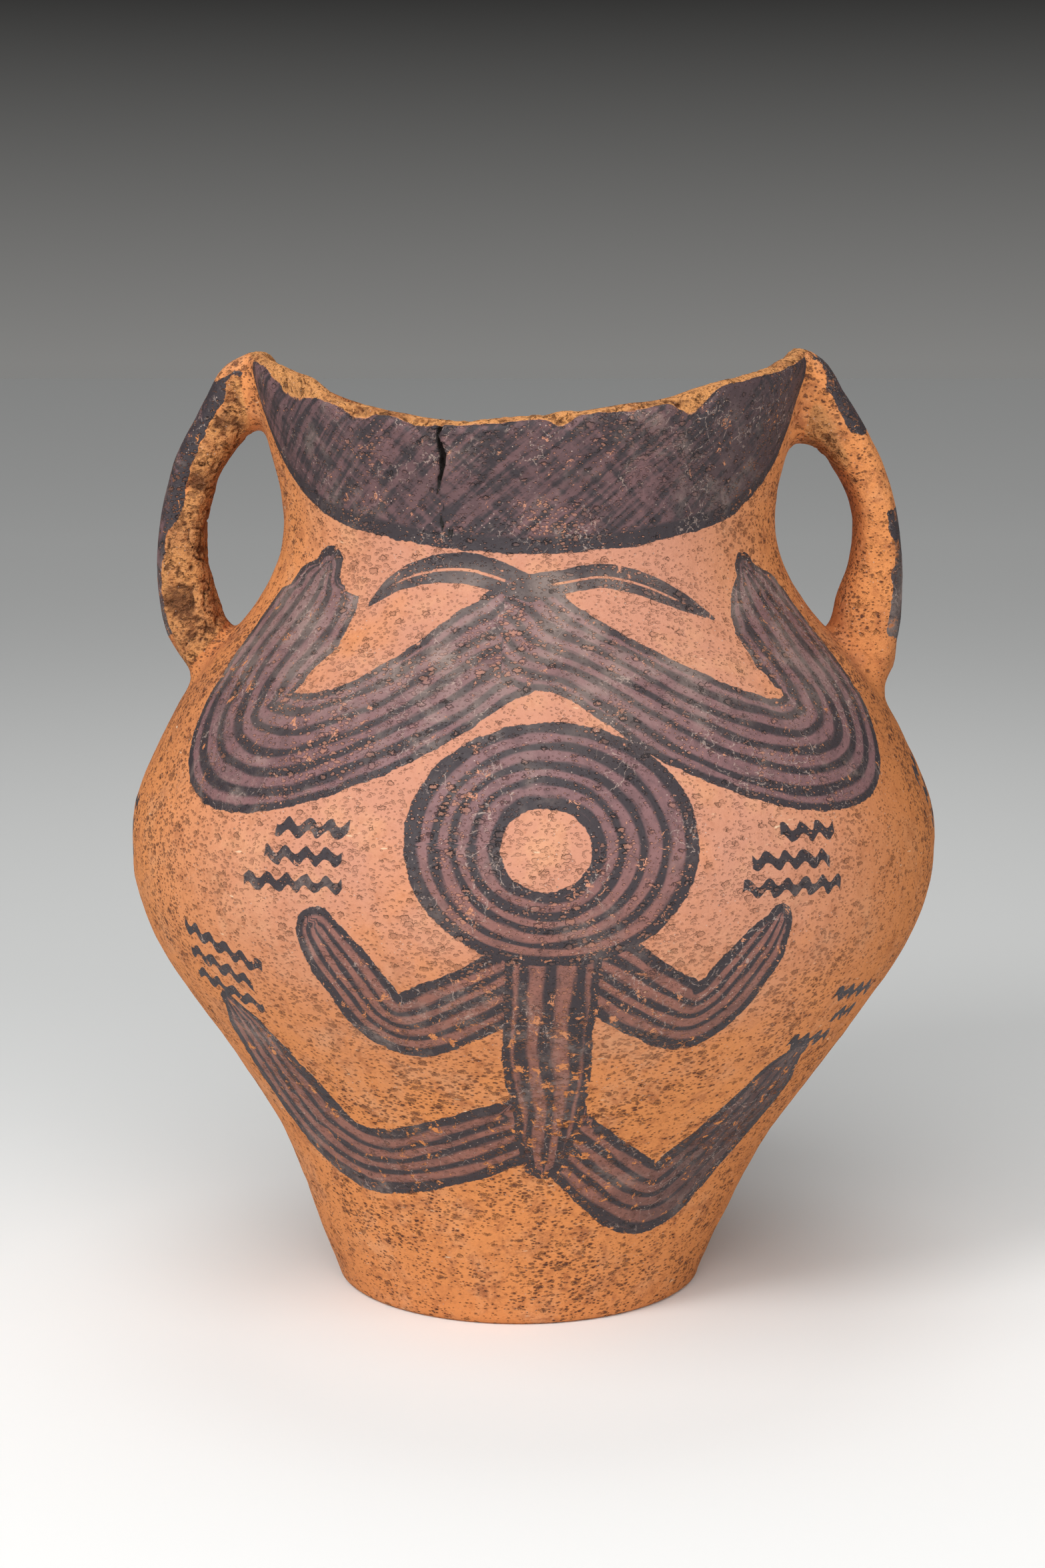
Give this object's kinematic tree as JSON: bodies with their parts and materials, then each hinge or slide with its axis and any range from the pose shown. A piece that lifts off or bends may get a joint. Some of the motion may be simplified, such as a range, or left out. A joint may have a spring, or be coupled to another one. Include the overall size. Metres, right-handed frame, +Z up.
{
  "type": "neolithic pottery jar",
  "caption": "Hollow hand-built pottery jar with a flat foot, swelling belly, saddle-shaped rim and strap handles from rim to shoulder, painted in dark bands.",
  "frame": {"origin": "centre of the foot's underside, on the surface that the jar stands on", "axes": "+Z up through the mouth, -Y towards the painted front, +X to the right with the handles at -X and +X"},
  "size_m": [0.2516, 0.2516, 0.2946],
  "materials": {
    "fired_clay": "unglazed orange earthenware, rubbed smooth and pitted, with matt black-brown and violet-brown painted bands, worn and flaked"
  },
  "bodies": {
    "root": {"jar": "fired_clay"}
  },
  "joints": []
}
